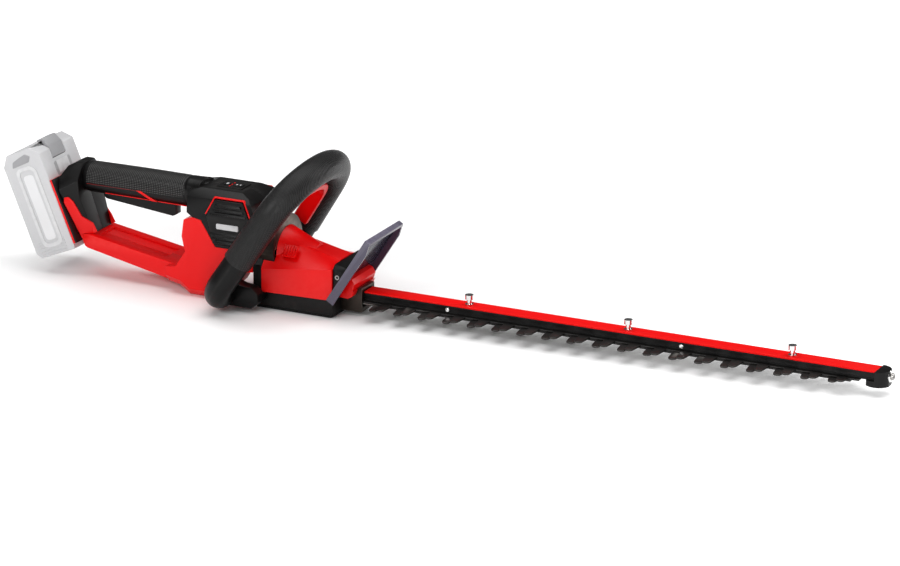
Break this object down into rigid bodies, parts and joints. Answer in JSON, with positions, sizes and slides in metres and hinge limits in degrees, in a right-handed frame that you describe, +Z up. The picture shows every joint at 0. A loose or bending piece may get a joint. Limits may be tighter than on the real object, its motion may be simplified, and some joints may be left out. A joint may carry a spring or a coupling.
{
  "type": "battery hedge trimmer",
  "caption": "Long-reach battery hedge trimmer with double-sided reciprocating blades, red stiffening rail, wrap-around front hoop, hand guard, loop rear handle and slide-on battery.",
  "frame": {"origin": "on the flat underside of the gear housing, below the crank axis", "axes": "+X forward along the blade to its tip, +Z up, Y = 0 the plane of symmetry"},
  "size_m": [1.0684, 0.199, 0.176],
  "materials": {
    "black_plastic": "fine moulded grain",
    "red_plastic": "satin moulded",
    "bronze_metal": "cast and coated",
    "steel": "machined",
    "aluminium": "cast",
    "black_metal": "black coated",
    "red_metal": "red coated",
    "chrome": "polished",
    "blade_steel": "dark ground steel",
    "smoke_plastic": "smoke tinted",
    "grip_rubber": "knurled soft rubber",
    "grey_plastic": "pale moulded",
    "board": "circuit board",
    "cell_wrap": "shrink wrap"
  },
  "bodies": {
    "front_unit": {"gear_case": "black_plastic", "bottom_cover": "black_plastic", "front_cover": "red_plastic", "nose_cover": "black_plastic", "swivel_ring": "bronze_metal", "lock_spring": "steel", "motor_stator": "steel", "crank_bearings": "steel", "gear_plate": "aluminium", "blade_bracket": "bronze_metal", "rail": "black_metal", "rail_strip": "red_metal", "rail_studs": "chrome", "rail_rivets": "chrome", "blade_bolts": "steel", "tip_guard": "black_plastic", "tip_washer": "chrome", "tip_screw": "steel", "hand_guard": "smoke_plastic", "guard_holder": "red_plastic", "guard_screws": "steel", "hoop_front_shell": "black_plastic", "hoop_rear_shell": "black_plastic", "hoop_grip_front": "grip_rubber", "hoop_grip_rear": "grip_rubber", "hoop_feet": "black_plastic"},
    "rear_unit": {"frame_right": "red_plastic", "frame_left": "red_plastic", "housing_right": "black_plastic", "housing_left": "black_plastic", "rear_spigot": "black_plastic", "vent_panel_right": "black_plastic", "vent_panel_left": "black_plastic", "side_badges": "red_plastic", "grip_sleeve": "grip_rubber", "grip_trims": "red_plastic", "dock_rim": "red_plastic", "contact_block": "black_plastic", "red_accents": "red_plastic", "control_panel": "black_plastic", "control_board": "board", "trigger_pin": "steel", "trigger_spring": "steel", "micro_switch": "black_plastic"},
    "trigger": {"trigger": "black_plastic"},
    "power_button": {"power_button": "grip_rubber"},
    "mode_button": {"mode_button": "grip_rubber"},
    "battery": {"battery_case": "grey_plastic", "battery_cells": "cell_wrap", "battery_gauge": "grey_plastic"},
    "battery_latch": {"battery_latch": "grey_plastic"},
    "switch_bar": {"switch_bar": "red_plastic"},
    "lock_slider": {"lock_slider": "red_plastic"},
    "crank": {"crank_gear": "steel"},
    "motor": {"drive_pinion": "steel", "motor_shaft": "steel", "motor_rotor": "steel", "cooling_fan": "black_plastic"},
    "upper_blade": {"upper_blade": "blade_steel"},
    "lower_blade": {"lower_blade": "blade_steel"}
  },
  "joints": [
    {"name": "handle_swivel", "type": "hinge", "parent": "front_unit", "child": "rear_unit", "pos_m": [0, 0, 0.066], "axis": [1, 0, 0], "range_deg": [-45, 45]},
    {"name": "lock_slide", "type": "slide", "parent": "front_unit", "child": "lock_slider", "axis": [1, 0, 0], "range_m": [0, 0.006], "stiffness_N_per_m": 300},
    {"name": "trigger_pull", "type": "hinge", "parent": "rear_unit", "child": "trigger", "pos_m": [-0.255, 0, 0.0965], "axis": [0, -1, 0], "range_deg": [0, 5], "stiffness_Nm_per_rad": 2, "springref_deg": -11.46, "deforming": ["trigger_spring"]},
    {"name": "switch_bar_squeeze", "type": "slide", "parent": "front_unit", "child": "switch_bar", "axis": [0.5519, 0, 0.8339], "range_m": [0, 0.004], "stiffness_N_per_m": 600},
    {"name": "power_press", "type": "slide", "parent": "rear_unit", "child": "power_button", "axis": [0, 0, -1], "range_m": [0, 0.001], "stiffness_N_per_m": 800},
    {"name": "mode_press", "type": "slide", "parent": "rear_unit", "child": "mode_button", "axis": [0, 0, -1], "range_m": [0, 0.001], "stiffness_N_per_m": 800},
    {"name": "battery_slide", "type": "slide", "parent": "rear_unit", "child": "battery", "axis": [-0.3827, 0, 0.9239], "range_m": [0, 0.08]},
    {"name": "battery_latch_press", "type": "slide", "parent": "battery", "child": "battery_latch", "axis": [-0.9239, 0, -0.3827], "range_m": [0, 0.002], "stiffness_N_per_m": 800},
    {"name": "crank_spin", "type": "hinge", "parent": "front_unit", "child": "crank", "pos_m": [0, 0, 0.02], "axis": [0, 0, 1], "continuous": true},
    {"name": "motor_spin", "type": "hinge", "parent": "front_unit", "child": "motor", "pos_m": [-0.022, 0, 0.04], "axis": [0, 0, 1], "continuous": true},
    {"name": "upper_blade_stroke", "type": "slide", "parent": "front_unit", "child": "upper_blade", "axis": [1, 0, 0], "range_m": [-0.01225, 0.00275]},
    {"name": "lower_blade_stroke", "type": "slide", "parent": "front_unit", "child": "lower_blade", "axis": [1, 0, 0], "range_m": [-0.00275, 0.01225]}
  ],
  "couplings": [
    {"joint": "motor_spin", "follows": "crank_spin", "ratio": -4.5},
    {"joint": "lower_blade_stroke", "follows": "upper_blade_stroke", "ratio": -1}
  ]
}
